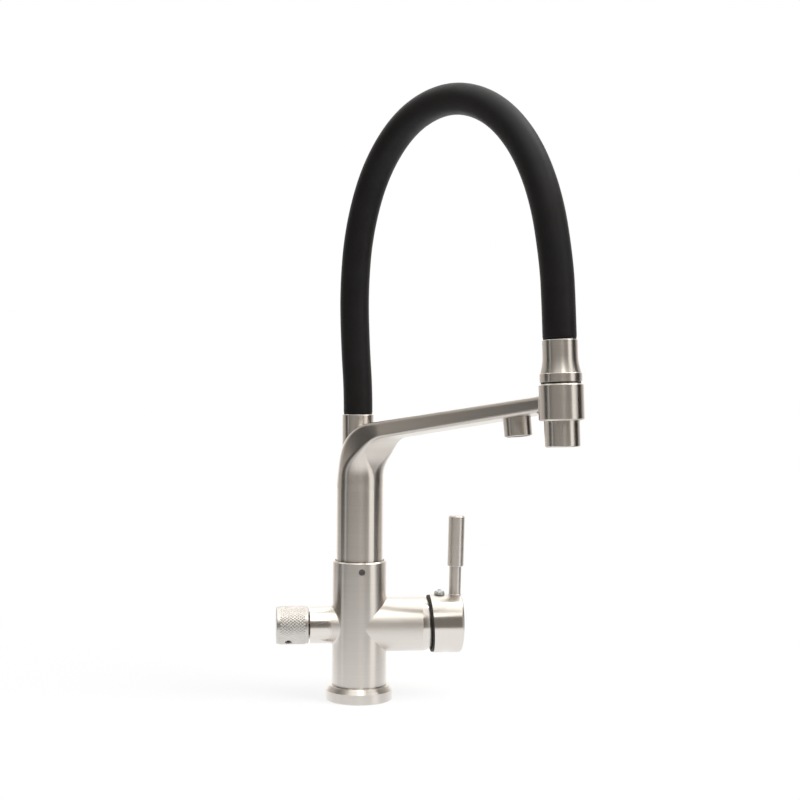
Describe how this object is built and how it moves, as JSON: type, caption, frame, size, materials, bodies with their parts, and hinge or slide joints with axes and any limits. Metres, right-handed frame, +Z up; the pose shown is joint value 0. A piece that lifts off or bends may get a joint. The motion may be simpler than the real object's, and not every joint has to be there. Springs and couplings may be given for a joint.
{
  "type": "drinking water filter tap",
  "caption": "Kitchen mixer tap in brushed nickel with a pull-out spray on a black arched hose and a separate knurled knob and outlet for filtered drinking water.",
  "frame": {"origin": "mouth of the fixing stud's hole, in the middle of the underside at worktop level", "axes": "+Z up along the body, +X towards the mixer lever, -X towards the filter knob, -Y to the front"},
  "size_m": [0.2029, 0.239, 0.4785],
  "materials": {
    "brushed_nickel": "satin brushed nickel plating over cast brass",
    "bright_steel": "plain stainless steel",
    "turned_brass": "turned brass",
    "black_rubber": "matte black silicone rubber",
    "black_plastic": "black acetal",
    "cartridge_plastic": "moulded cartridge plastic",
    "white_plastic": "natural white acetal",
    "grey_plastic": "grey moulded aerator plastic",
    "ceramic": "lapped alumina ceramic"
  },
  "bodies": {
    "tap_body": {"base_flange": "brushed_nickel", "base_seal": "black_rubber", "body_casting": "brushed_nickel", "spout_set_screw": "bright_steel", "spout_thrust_washer": "white_plastic", "cartridge_seal": "black_rubber", "cartridge_body": "cartridge_plastic", "cartridge_lid": "cartridge_plastic", "cartridge_nut": "turned_brass", "cartridge_fixed_disc": "ceramic", "housing_dome": "brushed_nickel", "filter_valve_seal": "black_rubber", "filter_headwork": "turned_brass", "filter_fixed_disc": "ceramic"},
    "lever_turret": {"cartridge_moving_disc": "ceramic", "cartridge_rotor": "cartridge_plastic", "lever_pivot_pin": "bright_steel"},
    "lever": {"lever_spindle": "bright_steel", "lever_cap": "brushed_nickel", "lever_gap_ring": "black_plastic", "lever_rod": "brushed_nickel", "lever_grip": "brushed_nickel", "lever_indicator": "bright_steel", "lever_grub_screw": "bright_steel"},
    "filter_handle": {"filter_turning_disc": "ceramic", "filter_spindle": "turned_brass", "filter_knob": "brushed_nickel", "filter_knob_screw": "bright_steel"},
    "spout": {"spout_casting": "brushed_nickel", "stem_insert": "turned_brass", "stem_orings": "black_rubber", "stem_glide_ring": "white_plastic", "filter_water_tube": "bright_steel", "filter_outlet": "brushed_nickel", "filter_outlet_seal": "black_rubber", "filter_outlet_insert": "grey_plastic", "holder_liner": "white_plastic", "hose_lower_nipple": "turned_brass", "hose_sleeve": "black_rubber", "pressure_hose": "white_plastic"},
    "hose_end": {"hose_ferrule": "brushed_nickel", "hose_upper_nipple": "turned_brass", "head_stop_washer": "black_plastic"},
    "spray_unit": {"spray_head": "brushed_nickel", "spray_aerator": "grey_plastic", "spray_check_valve": "white_plastic", "spray_neck_seal": "black_rubber"}
  },
  "joints": [
    {"name": "spout_swivel", "type": "hinge", "parent": "tap_body", "child": "spout", "pos_m": [0, 0, 0.1], "axis": [0, 0, 1], "continuous": true},
    {"name": "lever_mix", "type": "hinge", "parent": "tap_body", "child": "lever_turret", "pos_m": [0.0485, 0, 0.06], "axis": [1, 0, 0], "range_deg": [-45, 45]},
    {"name": "lever_lift", "type": "hinge", "parent": "lever_turret", "child": "lever", "pos_m": [0.0485, 0, 0.06], "axis": [0, 1, 0], "range_deg": [0, 25]},
    {"name": "filter_turn", "type": "hinge", "parent": "tap_body", "child": "filter_handle", "pos_m": [-0.055, 0, 0.06], "axis": [-1, 0, 0], "range_deg": [0, 90]},
    {"name": "head_pull", "type": "slide", "parent": "spout", "child": "hose_end", "axis": [-0.0273, 0.0446, 0.9986], "range_m": [0, 0.045], "deforming": ["hose_sleeve", "pressure_hose"]},
    {"name": "head_swivel", "type": "hinge", "parent": "hose_end", "child": "spray_unit", "pos_m": [0.12002, -0.19585, 0.24364], "axis": [-0.0273, 0.0446, 0.9986], "continuous": true}
  ]
}
